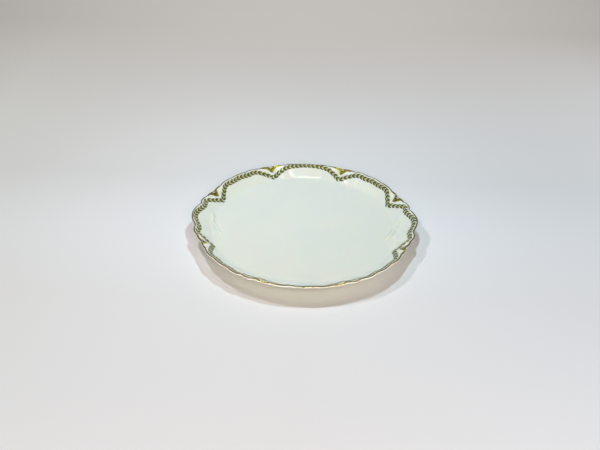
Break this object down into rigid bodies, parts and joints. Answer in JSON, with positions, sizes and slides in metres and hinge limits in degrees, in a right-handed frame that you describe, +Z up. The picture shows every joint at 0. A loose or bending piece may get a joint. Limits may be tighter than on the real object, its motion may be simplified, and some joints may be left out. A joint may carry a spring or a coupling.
{
  "type": "scalloped dessert plate",
  "caption": "Shallow porcelain dessert plate with a scalloped, lobed edge, gilded notches and a laurel garland round the rim.",
  "frame": {"origin": "centre of the foot ring, on the surface that the plate stands on", "axes": "+X along the long axis through the two wide end lobes, +Z up out of the well"},
  "size_m": [0.216, 0.21, 0.0189],
  "materials": {
    "porcelain": "clear glaze over white porcelain",
    "edge_gold": "fired gold line, slightly worn",
    "notch_gold": "fired gold, burnished",
    "stem_enamel": "pale green overglaze enamel",
    "leaf_enamel": "olive green overglaze enamel"
  },
  "bodies": {
    "root": {"plate_body": "porcelain", "edge_gilding": "edge_gold", "notch_gilding_1": "notch_gold", "notch_gilding_2": "notch_gold", "notch_gilding_3": "notch_gold", "notch_gilding_4": "notch_gold", "notch_gilding_5": "notch_gold", "notch_gilding_6": "notch_gold", "notch_gilding_7": "notch_gold", "notch_gilding_8": "notch_gold", "garland_stem_1": "stem_enamel", "garland_stem_2": "stem_enamel", "garland_stem_3": "stem_enamel", "garland_stem_4": "stem_enamel", "garland_stem_5": "stem_enamel", "garland_stem_6": "stem_enamel", "garland_stem_7": "stem_enamel", "garland_stem_8": "stem_enamel", "garland_leaves_1": "leaf_enamel", "garland_leaves_2": "leaf_enamel", "garland_leaves_3": "leaf_enamel", "garland_leaves_4": "leaf_enamel", "garland_leaves_5": "leaf_enamel", "garland_leaves_6": "leaf_enamel", "garland_leaves_7": "leaf_enamel", "garland_leaves_8": "leaf_enamel"}
  },
  "joints": []
}
